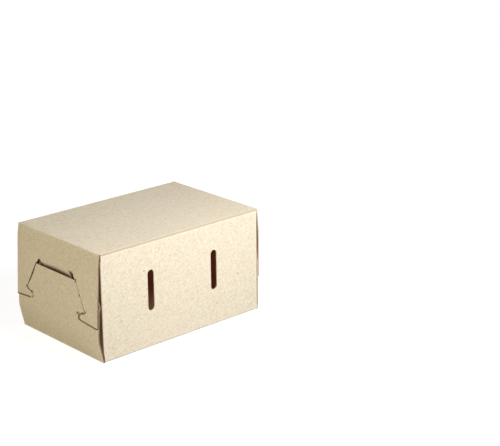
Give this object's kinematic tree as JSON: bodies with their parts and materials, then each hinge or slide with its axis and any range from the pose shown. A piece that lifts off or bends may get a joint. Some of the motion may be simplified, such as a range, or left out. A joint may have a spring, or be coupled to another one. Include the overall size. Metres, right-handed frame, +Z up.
{
  "type": "bird transport box",
  "caption": "Small folded carton for carrying a live bird, in plain grey-beige solid board with tall air slots and a hooked tongue closure at each end.",
  "frame": {"origin": "centre of the base, on the surface that the box stands on", "axes": "+X along the length, +Y across the box from the front side to the rear side, +Z up"},
  "size_m": [0.1316, 0.084, 0.069],
  "materials": {
    "board": "matt grey-beige recycled solid board with fine flecks"
  },
  "bodies": {
    "box_body": {"box_body": "board"},
    "top_flap_left": {"top_flap_left": "board"},
    "bottom_flap_left": {"bottom_flap_left": "board"},
    "top_flap_right": {"top_flap_right": "board"},
    "bottom_flap_right": {"bottom_flap_right": "board"}
  },
  "joints": [
    {"name": "top_flap_left_fold", "type": "hinge", "parent": "box_body", "child": "top_flap_left", "pos_m": [-0.0625, 0, 0.0686], "axis": [0, 1, 0], "range_deg": [0, 125]},
    {"name": "bottom_flap_left_fold", "type": "hinge", "parent": "box_body", "child": "bottom_flap_left", "pos_m": [-0.0625, 0, 0.0004], "axis": [0, -1, 0], "range_deg": [0, 75]},
    {"name": "top_flap_right_fold", "type": "hinge", "parent": "box_body", "child": "top_flap_right", "pos_m": [0.0625, 0, 0.0686], "axis": [0, -1, 0], "range_deg": [0, 125]},
    {"name": "bottom_flap_right_fold", "type": "hinge", "parent": "box_body", "child": "bottom_flap_right", "pos_m": [0.0625, 0, 0.0004], "axis": [0, 1, 0], "range_deg": [0, 75]}
  ],
  "couplings": [
    {"joint": "bottom_flap_left_fold", "follows": "top_flap_left_fold", "ratio": 0.6},
    {"joint": "bottom_flap_right_fold", "follows": "top_flap_right_fold", "ratio": 0.6}
  ]
}
